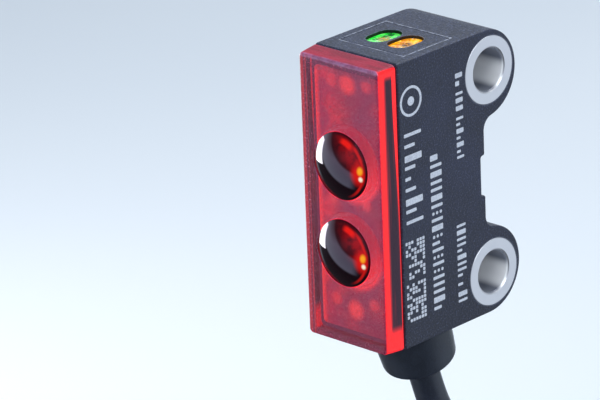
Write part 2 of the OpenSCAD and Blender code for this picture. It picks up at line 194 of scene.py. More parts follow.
class Skin:
    """A node material in the making, with coordinates in millimetres."""

    def __init__(self, name):
        self.material = bpy.data.materials.new(name)
        self.material.use_nodes = True
        self.tree = self.material.node_tree
        self.shader = self.tree.nodes["Principled BSDF"]
        place = self.node("TexCoord").outputs["Object"]
        scale = self.node("Mapping")
        scale.inputs["Scale"].default_value = (1000, 1000, 1000)
        self.tree.links.new(place, scale.inputs["Vector"])
        self.place = scale.outputs["Vector"]
        split = self.node("SeparateXYZ")
        self.tree.links.new(self.place, split.inputs[0])
        self.x, self.y, self.z = (Field(self.tree, split.outputs[i]) for i in range(3))

    def node(self, kind):
        return self.tree.nodes.new("ShaderNode" + kind)

    def noise(self, per_mm, detail=2.0, stretch=(1, 1, 1), distort=0.0):
        mapping = self.node("Mapping")
        mapping.inputs["Scale"].default_value = stretch
        self.tree.links.new(self.place, mapping.inputs["Vector"])
        node = self.node("TexNoise")
        node.inputs["Scale"].default_value = per_mm
        node.inputs["Detail"].default_value = detail
        node.inputs["Distortion"].default_value = distort
        self.tree.links.new(mapping.outputs["Vector"], node.inputs["Vector"])
        return Field(self.tree, node.outputs[0])

    def cells(self, per_mm, output="Distance"):
        node = self.node("TexVoronoi")
        node.inputs["Scale"].default_value = per_mm
        self.tree.links.new(self.place, node.inputs["Vector"])
        return Field(self.tree, node.outputs[output])

    def edges(self, radius_mm=0.12, start=0.02, end=0.16):
        """1 along edges, where the surface turns within a radius."""
        bevel = self.node("Bevel")
        bevel.samples = 4
        bevel.inputs["Radius"].default_value = radius_mm * MM
        flat = self.node("NewGeometry")
        dot = self.node("VectorMath")
        dot.operation = "DOT_PRODUCT"
        self.tree.links.new(bevel.outputs[0], dot.inputs[0])
        self.tree.links.new(flat.outputs["True Normal"], dot.inputs[1])
        return Field(self.tree, dot.outputs["Value"]).step(1 - start, 1 - end)

    def mix(self, share, first, second):
        """A colour: first where share is 0, second where it is 1."""
        node = self.node("Mix")
        node.data_type = "RGBA"
        feed(self.tree, node.inputs[0], share)
        feed(self.tree, node.inputs[6], first)
        feed(self.tree, node.inputs[7], second)
        return node.outputs[2]

    def bump(self, height, depth_mm):
        node = self.node("Bump")
        node.inputs["Distance"].default_value = depth_mm * MM
        feed(self.tree, node.inputs["Height"], height)
        return node.outputs["Normal"]

    def set(self, **values):
        """Sets or links the shader's sockets; Base_Color stands for Base Color."""
        for name, value in values.items():
            feed(self.tree, self.shader.inputs[name.replace("_", " ")], value)
        return self.material


def moulded(name, colour, lighter, roughness, grain=7.0, grain_mm=0.02, wear=0.35, coat=0.0):
    """Moulded plastic or rubber: fine grain, soft blotches, edges worn lighter."""
    skin = Skin(name)
    fine = skin.noise(grain, 3)
    broad = skin.noise(0.7, 4)
    lighter_edges = skin.edges() * skin.noise(1.6, 3).step(0.35, 0.65)
    speckle = skin.mix(fine.step(0.42, 0.72) * 0.35 + broad.step(0.3, 0.75) * 0.35, colour, lighter)
    tone = skin.mix(lighter_edges * wear, speckle, tuple(min(1, 2.2 * c + 0.02) for c in srgb(*lighter)))
    shine = fine.span(roughness - 0.06, roughness + 0.06) + broad.span(-0.03, 0.03)
    return skin.set(
        Base_Color=tone, Roughness=shine - lighter_edges * 0.08, Normal=skin.bump(fine, grain_mm),
        Specular_IOR_Level=0.5, Coat_Weight=coat, Coat_Roughness=0.25,
    )


def metal(name, colour, darker, roughness, stretch=(1, 1, 1), per_mm=6.0):
    """Bare metal with faint stains, and tool marks along the directions where stretch is small."""
    skin = Skin(name)
    lines = skin.noise(per_mm, 4, stretch=stretch)
    stains = skin.noise(0.9, 5)
    lighter_edges = skin.edges()
    tone = skin.mix(stains.step(0.45, 0.75) * 0.2 + lines.step(0.4, 0.8) * 0.15, colour, darker)
    shine = lines.span(roughness - 0.06, roughness + 0.08) + stains.step(0.4, 0.8, 0, 0.06)
    return skin.set(
        Base_Color=skin.mix(lighter_edges * 0.4, tone, colour), Metallic=1.0,
        Roughness=shine - lighter_edges * 0.05, Normal=skin.bump(lines, 0.004),
    )


# ---- Mesh tools ----


def mesh_of(bm, name="part"):
    """A mesh in metres; uses up a bmesh in millimetres."""
    bmesh.ops.scale(bm, vec=(MM, MM, MM), verts=bm.verts)
    bmesh.ops.recalc_face_normals(bm, faces=bm.faces)
    mesh = bpy.data.meshes.new(name)
    bm.to_mesh(mesh)
    bm.free()
    return mesh


def piece(name, bm, material, slot=None, node=None, body="sensor", sharp=35, flat=False):
    """An object of a bmesh in millimetres, on its body, in place of a CAD node. Shading breaks at edges
    sharper than an angle; flat keeps broad faces flat beside rounded edges."""
    mesh = mesh_of(bm, name)
    mesh.materials.append(material)
    mesh.polygons.foreach_set("use_smooth", [True] * len(mesh.polygons))
    mesh.set_sharp_from_angle(angle=radians(sharp))
    made = add_object(name, mesh)
    if flat:
        modifier = made.modifiers.new("flat_faces", "WEIGHTED_NORMAL")
        modifier.keep_sharp = True
    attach(made, body)
    if slot:
        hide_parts(node)
    return made


def carved(bm, *cutters):
    """A closed bmesh with each cutter taken out of it."""
    solid = add_object("solid", mesh_of(bm))
    for part in cutters:
        cutter = add_object("cutter", mesh_of(part))
        modifier = solid.modifiers.new("cut", "BOOLEAN")
        modifier.object = cutter
        modifier.solver = "EXACT"
        graph = bpy.context.evaluated_depsgraph_get()
        result = bpy.data.meshes.new_from_object(solid.evaluated_get(graph))
        solid.modifiers.clear()
        solid.data = result
        bpy.data.objects.remove(cutter)
    left = bmesh.new()
    left.from_mesh(solid.data)
    bmesh.ops.scale(left, vec=(1 / MM, 1 / MM, 1 / MM), verts=left.verts)
    bpy.data.objects.remove(solid)
    return left


def together(*parts):
    """One bmesh of several, each kept closed."""
    whole = bmesh.new()
    for part in parts:
        bmesh.ops.recalc_face_normals(part, faces=part.faces)
        mesh = bpy.data.meshes.new("part")
        part.to_mesh(mesh)
        part.free()
        whole.from_mesh(mesh)
        bpy.data.meshes.remove(mesh)
    return whole


def arc(centre, radius, start, end, steps):
    """Points of an arc, angles in degrees."""
    return [
        (centre[0] + radius * cos(radians(start + (end - start) * k / steps)),
         centre[1] + radius * sin(radians(start + (end - start) * k / steps)))
        for k in range(steps + 1)
    ]


def rounded_rect(half_a, half_b, radius, steps=6, middle=(0.0, 0.0)):
    points = []
    for side_a, side_b, start in ((1, 1, 0), (-1, 1, 90), (-1, -1, 180), (1, -1, 270)):
        corner = (middle[0] + side_a * (half_a - radius), middle[1] + side_b * (half_b - radius))
        points += arc(corner, radius, start, start + 90, steps)
    return points


def stadium(half_a, half_b, middle, steps=16):
    """A slot with round ends, longer along the second direction."""
    a, b = middle
    reach = half_b - half_a
    return arc((a, b + reach), half_a, 0, 180, steps) + arc((a, b - reach), half_a, 180, 360, steps)


def inset(points, distance):
    """A closed outline, counter-clockwise, moved inwards."""
    moved = []
    for k, (a, b) in enumerate(points):
        before, after = Vector(points[k - 1]), Vector(points[(k + 1) % len(points)])
        here = Vector((a, b))
        first, second = (here - before).normalized(), (after - here).normalized()
        normal_1, normal_2 = Vector((-first.y, first.x)), Vector((-second.y, second.x))
        share = distance / max(0.3, 1 + normal_1.dot(normal_2))
        moved.append(tuple(here + (normal_1 + normal_2) * share))
    return moved


def skin_rings(bm, rings, cap_start=True, cap_end=True):
    """Joins rings of points of equal count into a closed surface."""
    made = [[bm.verts.new(p) for p in ring] for ring in rings]
    count = len(made[0])
    for lower, upper in zip(made, made[1:]):
        for k in range(count):
            bm.faces.new((lower[k], lower[(k + 1) % count], upper[(k + 1) % count], upper[k]))
    if cap_start:
        bm.faces.new(list(reversed(made[0])))
    if cap_end:
        bm.faces.new(made[-1])


def rounding(radius, steps=5):
    """Pairs of (distance below the face, inset) round a convex edge."""
    return [(radius - radius * sin(pi / 2 * k / steps), radius - radius * cos(pi / 2 * k / steps))
            for k in range(steps + 1)]


def prism(outline, low, high, to_3d, edge_low=0.0, edge_high=0.0):
    """A flat outline between two levels, its rims rounded; to_3d(a, b, level) places a point."""
    bm = bmesh.new()
    rings = []
    for below, inward in reversed(rounding(edge_low)) if edge_low else [(0, 0)]:
        rings.append([to_3d(a, b, low + below) for a, b in inset(outline, inward)])
    for below, inward in rounding(edge_high) if edge_high else [(0, 0)]:
        rings.append([to_3d(a, b, high - below) for a, b in inset(outline, inward)])
    skin_rings(bm, rings)
    return bm


def across(a, b, level):
    """Outline in Y and Z, levels along X."""
    return (level, a, b)


def upward(a, b, level):
    """Outline in X and Y, levels along Z."""
    return (a, b, level)


def frontward(a, b, level):
    """Outline in X and Z, levels towards the front."""
    return (a, -level, b)


def turned(profile, place, closed=False, segments=64, reach=None):
    """A profile of (radius, height) turned about an axis and placed by place(x, y, height). A closed
    profile makes a ring; an open one starts and ends on the axis. reach changes the radius."""
    bm = bmesh.new()
    rings = []
    for radius, height in profile:
        if radius == 0:
            rings.append([bm.verts.new(place(0, 0, height))])
            continue
        ring = []
        for k in range(segments):
            angle = 2 * pi * k / segments
            r = reach(radius, height, angle) if reach else radius
            ring.append(bm.verts.new(place(r * cos(angle), r * sin(angle), height)))
        rings.append(ring)
    if closed:
        rings.append(rings[0])
    for lower, upper in zip(rings, rings[1:]):
        for k in range(segments):
            after = (k + 1) % segments
            around = ((lower, k), (lower, after), (upper, after), (upper, k))
            bm.faces.new(list(dict.fromkeys(ring[i % len(ring)] for ring, i in around)))
    return bm


def box_mesh(low, high):
    bm = bmesh.new()
    middle = [(a + b) / 2 for a, b in zip(low, high)]
    size = [b - a for a, b in zip(low, high)]
    bmesh.ops.create_cube(bm, size=1, matrix=Matrix.Translation(middle) @ Matrix.Diagonal((*size, 1)))
    return bm


# ---- The free cable, from the boot to the connector ----

LEAD_POINTS = [
    (0, -3.94, -14.52), (0, -3.4, -16.2), (0, -2.75, -18), (-0.1, -1.9, -19.6), (-0.4, -0.8, -21.05),
    (-1, 0.5, -22.4), (-1.6, 2, -23.9), (-2.1, 3.6, -25.4), (-2.4, 5.1, -26.8),
    (-2.5, 6.4, -28.5),
]
TAIL_POINTS = [
    (2.6, 7.8, -36.6), (2.6, 7.3, -39.4), (2.5, 6.9, -42.2), (2.2, 6.5, -45),
    (1.7, 6.1, -47.8), (1, 5.8, -50.8), (0.4, 5.6, -53.8), (0.1, 5.5, -57),
    (0, 5.5, -60.5),
]
COIL_START, COIL_TURN = 30, 760
COIL_LOW, COIL_HIGH = -2.5, 2.6


def coil_points():
    """The cable's centreline through the coil: turns side by side, about an axis along X."""
    per_turn = 24
    count = round(COIL_TURN / 360 * per_turn)
    points = []
    for k in range(1, count):
        angle = radians(COIL_START - COIL_TURN * k / count)
        x = COIL_LOW + (COIL_HIGH - COIL_LOW) * k / count
        points.append((x, COIL_Y + COIL_R * cos(angle), COIL_Z + COIL_R * sin(angle)))
    return points


def cable_material():
    return moulded("cable_jacket", (32, 37, 50), (54, 61, 76), 0.42, grain=9, grain_mm=0.006, wear=0.1)


def make_cable():
    data = bpy.data.curves.new("cable", "CURVE")
    data.dimensions = "3D"
    data.bevel_depth = CABLE_R * MM
    data.bevel_resolution = 7
    data.resolution_u = 6
    data.use_fill_caps = True
    points = LEAD_POINTS + coil_points() + TAIL_POINTS
    spline = data.splines.new("BEZIER")
    spline.bezier_points.add(len(points) - 1)
    for place, point in zip(spline.bezier_points, points):
        place.co = Vector(point) * MM
        place.handle_left_type = place.handle_right_type = "AUTO"
    made = add_object("cable", data)
    data.materials.append(cable_material())
    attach(made, "sensor")
    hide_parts("cable_lead", "cable_coil", "cable_tail")
    return made


cable = make_cable()

# ---- Housing ----


def housing_outline():
    """Side view of the housing, counter-clockwise in Y and Z from the lower front corner."""
    corner = 0.22
    root_y = BACK_Y + ROOT_R
    reach = EAR_R + ROOT_R
    root_z = EAR_Z - sqrt(reach ** 2 - (root_y - EAR_Y) ** 2)
    contact = degrees(atan2(root_z - EAR_Z, root_y - EAR_Y))
    recess_y, recess_low, recess_high = BACK_Y - 0.42, -1.65, 1.45
    lip = 0.18
    points = arc((FRONT_Y + corner, -HALF_H + corner), corner, 180, 270, 4)
    points += arc((EAR_Y, -EAR_Z), EAR_R, -90, -contact, 28)
    points += arc((root_y, -root_z), ROOT_R, 180 - contact, 180, 8)[1:]
    points += arc((BACK_Y - lip, recess_low - lip), lip, 0, 90, 3)
    points += list(reversed(arc((recess_y + lip, recess_low + lip), lip, 180, 270, 3)))
    points += list(reversed(arc((recess_y + lip, recess_high - lip), lip, 90, 180, 3)))
    points += arc((BACK_Y - lip, recess_high + lip), lip, 270, 360, 3)
    points += list(reversed(arc((root_y, root_z), ROOT_R, 180 + contact, 180, 8)))
    points += arc((EAR_Y, EAR_Z), EAR_R, contact, 90, 28)[1:]
    points += arc((FRONT_Y + corner, HALF_H - corner), corner, 90, 180, 4)
    return points


def housing_material(name="charcoal_housing"):
    """Charcoal moulding with a spark-eroded grain, its edges painted lighter as wear and as a painted
    highlight, with painted shade low down and in the light slots, and a painted highlight round the insert
    pocket.
    """
    skin = Skin(name)
    grain = skin.noise(5.5, 3, distort=0.4)
    fine = skin.noise(8, 2)
    broad = skin.noise(0.35, 4)
    # Edges painted lighter: partly wear, partly a painted highlight along the edges.
    lighter_edges = skin.edges() * skin.noise(2.5, 3).step(0.25, 0.6, 0.35, 1.0)
    # Painted shade: the housing is painted darker towards the bottom, where less light falls.
    low = skin.z.step(0, -10)
    top = skin.z.step(HALF_H - 0.06, HALF_H - 0.02)
    base = skin.mix(broad.span(), (31, 35, 54), (38, 43, 66))
    base = skin.mix(low * 0.6, base, (21, 24, 38))
    # Light speckle, painted stronger on the top face: partly grain, partly painted light from above.
    speckle = skin.mix(fine.step(0.52, 0.68) * (top * 0.4 + 0.35), base, (92, 102, 134))
    speckle = skin.mix(grain.step(0.46, 0.34) * 0.6, speckle, (22, 24, 36))
    tone = skin.mix(lighter_edges * 0.6, speckle, (150, 158, 182))
    # Painted highlight: a pale line round the insert pocket, where its rim catches the light.
    aside = (skin.x.abs() - INSERT_X).max((skin.y - INSERT_Y).abs() - INSERT_L)
    pocket_rim_highlight = aside.between(0.08, 0.15, 0.03)
    tone = skin.mix(top * pocket_rim_highlight * skin.noise(2, 3).step(0.36, 0.6, 0.12, 0.95), tone, (200, 205, 220))
    # Painted shade: the light slots' walls below the top face are painted near black.
    reach = (skin.y - INSERT_Y).abs() - (LIGHT_L - LIGHT_R)
    well = (skin.x.abs() - LIGHT_X).far(reach.max(0)).step(LIGHT_R + 0.05, LIGHT_R + 0.02) * (top * -1 + 1)
    tone = skin.mix(well, tone, (3, 4, 8))
    return skin.set(
        Base_Color=tone, Roughness=grain.span(0.36, 0.54) - lighter_edges * 0.1,
        Normal=skin.bump(grain * 0.8 + fine * 0.6, 0.035), Specular_IOR_Level=0.5,
    )


def insert_outline(wider, radius):
    """The insert's outline in X and Y, wider all round."""
    return rounded_rect(INSERT_X + wider, INSERT_L + wider, radius, middle=(0, INSERT_Y))


def make_housing():
    body = prism(housing_outline(), -HALF_W, HALF_W, across, edge_low=0.14, edge_high=0.14)
    inner = box_mesh((-3.2, FRONT_Y - 1, -10.1), (3.2, -3.4, 10.1))
    rear = box_mesh((-3.2, -4.4, -4.25), (3.2, -1.75, 4.25))
    pocket = prism(insert_outline(0.08, 0.25), HALF_H - 0.5, HALF_H + 1, upward)
    throat = prism(insert_outline(-0.4, 0.1), HALF_H - 2, HALF_H - 0.2, upward)
    bores = []
    for z in (HOLE_Z, -HOLE_Z):
        circle = arc((0, z), BUSH_R - 0.005, 0, 360, 96)[:-1]
        bores.append(prism(circle, -HALF_W - 1, HALF_W + 1, across))
    shell = carved(body, inner, rear, pocket, throat, *bores)
    piece("housing_shell", shell, housing_material(), "housing", "housing", sharp=32, flat=True)


make_housing()

# ---- Metal bushes ----


def bush_material():
    """Turned steel: even, satin end faces and a bore with faint rings, whose wall carries a painted bright
    band with painted shade above and below it.
    """
    skin = Skin("bush_steel")
    rings = skin.noise(7, 2, stretch=(1, 0.02, 0.02))
    stains = skin.noise(0.8, 4)
    face = skin.x.abs().step(HALF_W - 0.06, HALF_W - 0.02)
    lighter_edges = skin.edges(0.05)
    worn = stains.step(0.45, 0.75) * 0.12 + rings.step(0.4, 0.7) * 0.05
    tone = skin.mix(worn, (232, 232, 236), (190, 192, 202))
    height = skin.z - skin.z.math("SIGN") * HOLE_Z
    bore = skin.y.far(height).step(HOLE_R + 0.12, HOLE_R + 0.02)
    # Painted reflection: a bright band across the bore's wall, with painted shade above and below it.
    painted_bore_highlight = (skin.y * 0.886 - height * 0.464).step(1.1, 1.58)
    tone = skin.mix(bore, tone, skin.mix(painted_bore_highlight, (114, 118, 130), (255, 255, 255)))
    return skin.set(
        Base_Color=skin.mix(lighter_edges * 0.5, tone, (246, 246, 250)), Metallic=bore * -0.9 + 1,
        Roughness=face.step(0, 1, 0.3, 0.36) + rings.span(-0.02, 0.03), Normal=skin.bump(rings, 0.0004),
    )


def make_bush(name, node, z):
    """A turned tube with a chamfer at each mouth and a groove hidden in the moulding."""
    chamfer = 0.15
    rim = 0.05
    outer = [(BUSH_R - rim, HALF_W), (BUSH_R, HALF_W - rim), (BUSH_R, 2.2), (BUSH_R - 0.3, 2.15)]
    outer += [(r, -h) for r, h in reversed(outer)]
    bore = [(HOLE_R + chamfer, -HALF_W), (HOLE_R + chamfer / 3, -HALF_W + chamfer * 0.55),
            (HOLE_R, -HALF_W + chamfer)]
    bore += [(r, -h) for r, h in reversed(bore)]
    bm = turned(outer + bore, lambda a, b, h: (h, a, z + b), closed=True, segments=128)
    piece(name, bm, bush, "bush", node, sharp=25, flat=True)


bush = bush_material()
make_bush("upper_metal_bush", "upper_bush", HOLE_Z)
make_bush("lower_metal_bush", "lower_bush", -HOLE_Z)

# ---- Front window, seal and what shows behind them ----

LENSES = (RECEIVER_Z, EMITTER_Z)
PLATE_LOW, PLATE_HIGH = -10.1, 9.85
PEGS = ((0.1, 8.95, 0.75), (0.2, -8.4, 0.75), (-1.5, 8.95, 0.4), (1.9, 9.1, 0.4), (-1.7, -0.1, 0.4),
        (1.55, 0.1, 0.4), (-1.65, -7.9, 0.4), (2.0, -7.6, 0.4))


def window_material():
    """Hazy red plastic: a frosted front that lets the plate behind show, sides painted with a red glow as
    if lit from within, and a painted highlight along the top front edge.
    """
    skin = Skin("red_window")
    mottle = skin.noise(6.5, 3)
    speck = skin.noise(7, 2)
    cloud = skin.noise(0.45, 3)
    streak = skin.noise(3.2, 3, stretch=(1, 1, 0.03))
    side = skin.x.abs()
    front = skin.y.step(-11.36, -11.5)
    edge = skin.y.step(-11.5, -11.66)
    rim = skin.x.step(-3.0, -3.15)
    border = (skin.z + 0.15).abs().step(9.95, 10.15) * (rim * -1 + 1)
    haze = skin.mix(mottle.span(), (108, 34, 64), (154, 60, 98))
    haze = skin.mix(cloud.step(0.4, 0.65) * 0.6, haze, (170, 34, 52))
    # Painted shade: the haze is painted darker and redder towards the bottom.
    haze = skin.mix(skin.z.step(1, -9) * 0.5, haze, (124, 16, 34))
    haze = skin.mix(border * 0.6, haze, (112, 32, 74))
    bars = skin.mix(streak.step(0.35, 0.62), (146, 24, 48), (198, 42, 58))
    haze = skin.mix(rim, haze, bars)
    haze = skin.mix(skin.x.between(-3.36, -3.2, 0.05) * 0.8, haze, (92, 22, 56))
    haze = skin.mix(speck.step(0.54, 0.7) * 0.6, haze, (214, 120, 150))
    # Painted glow on the sides: bright red where light runs inside the wall, and a dark band where the
    # pocket shows through.
    band = skin.y.step(-11.28, -10.86) * (skin.y + skin.z.step(-2, 9.5, 0, 0.3)).step(-10.0, -10.1)
    band = band * skin.z.step(-9.7, -8.7) * skin.z.step(10.6, 9.9) * streak.step(0.2, 0.5, 0.86, 1.0)
    painted_side_glow = skin.mix(band, (255, 26, 30), (50, 12, 40))
    painted_side_glow = skin.mix(skin.y.step(-10.1, -10.0) * 0.7, painted_side_glow, (120, 8, 22))
    ends = skin.z.abs().step(10.72, 10.88)
    top = skin.mix(skin.noise(1.1, 3, stretch=(0.3, 1, 1)).step(0.4, 0.6), (122, 2, 38), (156, 10, 50))
    tone = skin.mix(edge, skin.mix(ends, painted_side_glow, top), haze)
    # Painted highlight along the top front edge and its rounding, broken up by noise.
    lip = skin.edges(0.16, 0.03, 0.2)
    glint = skin.noise(2.4, 2).step(0.35, 0.6, 0.45, 0.95)
    painted_ledge_highlight = skin.z.step(10.5, 10.68) * skin.y.step(-11.5, -11.58)
    tone = skin.mix((lip * ends.max(edge)).max(painted_ledge_highlight * 0.8) * glint, tone, (184, 136, 178))
    seat = skin.x.far(skin.z - RECEIVER_Z).min(skin.x.far(skin.z - EMITTER_Z))
    seat = seat.step(LENS_R + 0.36, LENS_R + 0.3) * skin.y.step(-11.698, -11.69)
    shell = front.max(side.step(3.68, 3.74)).max(ends) * (seat * -1 + 1)
    open_share = mottle.span(0.58, 0.42) * (rim * -1 - border * 0.25 + 1)
    see = shell * (edge * open_share * -1 + 1).max(painted_ledge_highlight * 0.75)
    # Painted glow: the sides and the top and bottom strips emit red light, though nothing in them is a
    # lamp.
    lit = (edge * -1 + 1) * (ends * -0.6 + 1) * (band * -1 + 1) * 0.62
    return skin.set(
        Base_Color=tone, Alpha=see, Roughness=mottle.span(0.28, 0.42),
        Normal=skin.bump(mottle + speck * 0.8, 0.012),
        Emission_Color=skin.mix(ends, (255, 20, 22), (150, 6, 44)), Emission_Strength=lit,
        Specular_IOR_Level=ends.max(rim).step(0, 1, 0.5, 0.25),
    )


def make_window():
    """A drafted shell with rounded edges, a pocket behind, and a bore for each lens."""
    back = rounded_rect(HALF_W, HALF_H, 0.36)
    draft_x, draft_z, edge = 0.2, 0.1, 0.2
    depth = WINDOW_BACK - WINDOW_FRONT
    rings = [[(x, WINDOW_BACK, z) for x, z in inset(back, 0.04)],
             [(x, WINDOW_BACK - 0.04, z) for x, z in back]]
    for below, inward in rounding(edge, 6):
        share = (depth - below) / depth
        scale_x, scale_z = 1 - draft_x * share / HALF_W, 1 - draft_z * share / HALF_H
        rings.append([(x * scale_x, WINDOW_FRONT + below, z * scale_z) for x, z in inset(back, inward)])
    bm = bmesh.new()
    skin_rings(bm, rings)
    cutters = [prism(rounded_rect(3.62, 10.6, 0.3), -WINDOW_BACK - 1, -POCKET_FRONT, frontward)]
    for z in LENSES:
        profile = [(0, 10), (LENS_R + 0.05, 10), (LENS_R + 0.05, 11.62), (LENS_R + 0.21, 12), (0, 12)]
        cutters.append(turned(profile, lambda a, b, h, z=z: (a, -h, z + b), segments=96))
    shell = carved(bm, *cutters)
    piece("window_shell", shell, window_material(), "window", "front_window", sharp=32, flat=True)


def carrier_material():
    """The plate behind the window: a bright face in a dark frame, with lighter ejector marks, all painted
    as glowing, and a painted red glow along its left edge and beside each lens.
    """
    skin = Skin("carrier_plate")
    mottle = skin.noise(1.8, 4)
    cloud = skin.noise(0.45, 3)
    face = skin.y.step(-10.74, -10.79)
    tone = skin.mix(mottle.step(0.35, 0.65), (180, 22, 44), (228, 42, 56))
    tone = skin.mix(cloud.step(0.35, 0.6) * 0.75, tone, (128, 30, 70))
    tone = skin.mix(skin.x.step(-2.4, 0.2) * 0.55, tone, (104, 24, 60))
    for x, z, r in PEGS:
        spot = (skin.x - x).far(skin.z - z).step(r + 0.3, r * 0.4) * (0.85 if r > 0.5 else 0.5)
        tone = skin.mix(spot, tone, (255, 62, 64))
    # Painted glow: a bright red line along the plate's left edge.
    line = skin.x.step(-2.55, -3.05)
    tone = skin.mix(line * 0.9, tone, (255, 60, 58))
    # Painted glow: red light beside each lens, strongest at its lower right.
    for z in LENSES:
        offset = (skin.x - 0.9).far(skin.z - (z - 1.1))
        ring = skin.x.far(skin.z - z).step(3.45, 2.75)
        tone = skin.mix(offset.step(2.9, 1.4) * ring, tone, (255, 52, 60))
    tone = skin.mix(face, (84, 30, 62), tone)
    # The plate glows with its own colours, a painted glow, though it is no lamp.
    return skin.set(
        Base_Color=tone, Roughness=mottle.span(0.4, 0.6), Normal=skin.bump(mottle, 0.02),
        Emission_Color=tone, Emission_Strength=0.9,
    )


def make_carrier():
    """The moulded insert that holds the lenses: frame, raised plate, pegs and two barrels."""
    def lens_holes():
        return [prism(arc((0, z), 2.86, 0, 360, 72)[:-1], 9, 12, frontward) for z in LENSES]

    middle = (PLATE_LOW + PLATE_HIGH) / 2
    outline = rounded_rect(3.12, (PLATE_HIGH - PLATE_LOW) / 2, 0.35, middle=(0, middle))
    border = carved(prism(rounded_rect(3.55, 10.5, 0.3), 10.4, 10.62, frontward), *lens_holes())
    plate = carved(prism(outline, 10.62, 10.84, frontward, edge_high=0.06), *lens_holes())
    parts = [border, plate]
    for x, z, r in PEGS:
        parts.append(prism(arc((x, z), r, 0, 360, 32)[:-1], 10.84, 10.87, frontward, edge_high=0.02))
    for z in LENSES:
        profile = [(2.9, 10.4), (3.05, 10.35), (3.05, 5.85), (3.0, 5.8), (2.3, 5.8), (2.25, 5.85),
                   (2.25, 10.4)]
        parts.append(turned(profile, lambda a, b, h, z=z: (a, -h, z + b), closed=True, segments=72))
    piece("lens_carrier", together(*parts), carrier_material(), "carrier", "optics_carrier")


make_window()
make_carrier()

# ---- Lenses ----


def lens_material(z):
    """Deep red, nearly black glass-like plastic, painted with the light it gathers: a glow, red streaks and
    orange and white glints along the far rim, and a faint glow all over.
    """
    skin = Skin(f"lens_{'receiver' if z > 0 else 'emitter'}")
    u, v = skin.x, skin.z - z
    out = u.far(v)
    haze = skin.noise(1.6, 3)
    # Painted glow: red light towards the upper right, a streak near the top of the rim, rim light on the
    # far side and a glow low on it.
    glow = (u * 0.75 + v * 0.5).step(0.5, 1.9) * out.step(2.52, 2.3)
    ember = haze.step(0.35, 0.65, 0.25, 1.0)
    streak = out.between(1.95, 2.3, 0.1) * (u - 0.85).far(v - 2.0).step(0.8, 0.25)
    rim = out.between(2.2, 2.36, 0.06) * u.step(0.6, 2.0)
    low_glow = (u - 2.0).far((v + 0.15) * 0.6).step(0.75, 0.15) * out.step(2.5, 2.35)
    # Painted inner glow: dark low down, redder towards the upper right.
    deep = skin.mix((v * 0.6 + u * 0.3).step(-0.4, 1.4), (7, 0, 2), (46, 2, 8))
    tone = skin.mix(glow * ember, deep, (156, 4, 8))
    tone = skin.mix(streak.max(rim * 0.6).max(low_glow * 0.8), tone, (236, 26, 16))
    # Painted glints on the far rim: an orange one and a white one.
    painted_orange_glint = (u - 2.08).far((v - 0.12) * 0.6).step(0.27, 0.08)
    white = (u - 2.1).far((v + 0.5) * 0.7).step(0.2, 0.05)
    tone = skin.mix(painted_orange_glint, tone, (255, 168, 30))
    tone = skin.mix(white, tone, (255, 246, 216))
    # The flange behind the window is painted as glowing red, brightest towards the lower right.
    behind = skin.y.step(-11.66, -11.6)
    flange = skin.mix((u - 0.9).far(v + 1.1).step(2.9, 1.4), (182, 30, 52), (255, 50, 56))
    tone = skin.mix(behind, tone, flange)
    # The whole lens glows with these colours, a painted glow, though it is no lamp.
    return skin.set(
        Base_Color=skin.mix(behind, (12, 2, 4), (150, 24, 40)), Emission_Color=tone, Emission_Strength=0.95,
        Roughness=haze.span(0.012, 0.03), Specular_IOR_Level=0.5, Specular_Tint=(238, 222, 255),
    )


def make_lens(name, node, z):
    """A domed lens with its rim and the flange that the carrier holds."""
    dome_r = (LENS_R ** 2 + LENS_RISE ** 2) / (2 * LENS_RISE)
    centre = -WINDOW_FRONT + LENS_RISE - dome_r
    steps = 20
    angle = atan2(LENS_R, dome_r - LENS_RISE)
    profile = [(0, centre + dome_r)]
    profile += [(dome_r * sin(angle * k / steps), centre + dome_r * cos(angle * k / steps))
                for k in range(1, steps + 1)]
    profile += [(LENS_R, 10.86), (2.8, 10.84), (2.84, 10.8), (2.84, 10.44), (2.8, 10.4), (0, 10.4)]
    bm = turned(profile, lambda a, b, h: (a, -h, z + b), segments=96)
    piece(name, bm, lens_material(z), "lens", node, sharp=40)


make_lens("receiver_dome", "receiver_lens", RECEIVER_Z)
make_lens("emitter_dome", "emitter_lens", EMITTER_Z)

# ---- Insert with the two light windows ----


def make_insert():
    """The flush plate over the lamps, with a slot over each."""
    def slots():
        return [prism(stadium(LIGHT_R, LIGHT_L, (x, INSERT_Y)), HALF_H - 3, HALF_H + 1, upward)
                for x in (-LIGHT_X, LIGHT_X)]

    step = HALF_H - 0.48
    plate = prism(insert_outline(0, 0.2), step, HALF_H, upward, edge_high=0.06)
    plug = prism(insert_outline(-0.43, 0.1), HALF_H - 1.25, step, upward)
    bm = together(carved(plate, *slots()), carved(plug, *slots()))
    piece("top_insert", bm, housing_material("charcoal_insert"), "insert", "indicator_cover", flat=True)


def light_material(name, deep, bright, speck, body):
    """A lit, faceted light window: brighter over the lamp, with a speck of another tone inside and painted
    white glints on its facets.
    """
    skin = Skin(name)
    mottle = skin.noise(2.4, 3, distort=1.2)
    shards = skin.cells(1.7, "Color")
    centre = (skin.x.abs() - LIGHT_X).far(skin.y - INSERT_Y)
    tone = skin.mix(mottle.step(0.38, 0.64), deep, bright)
    tone = skin.mix(shards.step(0.55, 0.8) * 0.6, tone, body)
    tone = skin.mix(centre.step(0.75, 0.2) * mottle.step(0.4, 0.55), tone, speck)
    # Painted highlight: small white glints on the facets.
    spark = skin.cells(2.6).step(0.26, 0.12) * mottle.step(0.45, 0.6)
    tone = skin.mix(spark, tone, (255, 252, 226))
    return skin.set(
        Base_Color=tone, Emission_Color=tone, Emission_Strength=0.75, Roughness=mottle.span(0.05, 0.16),
        Normal=skin.bump(shards, 0.03), Coat_Weight=0.7, Coat_Roughness=0.04,
    )


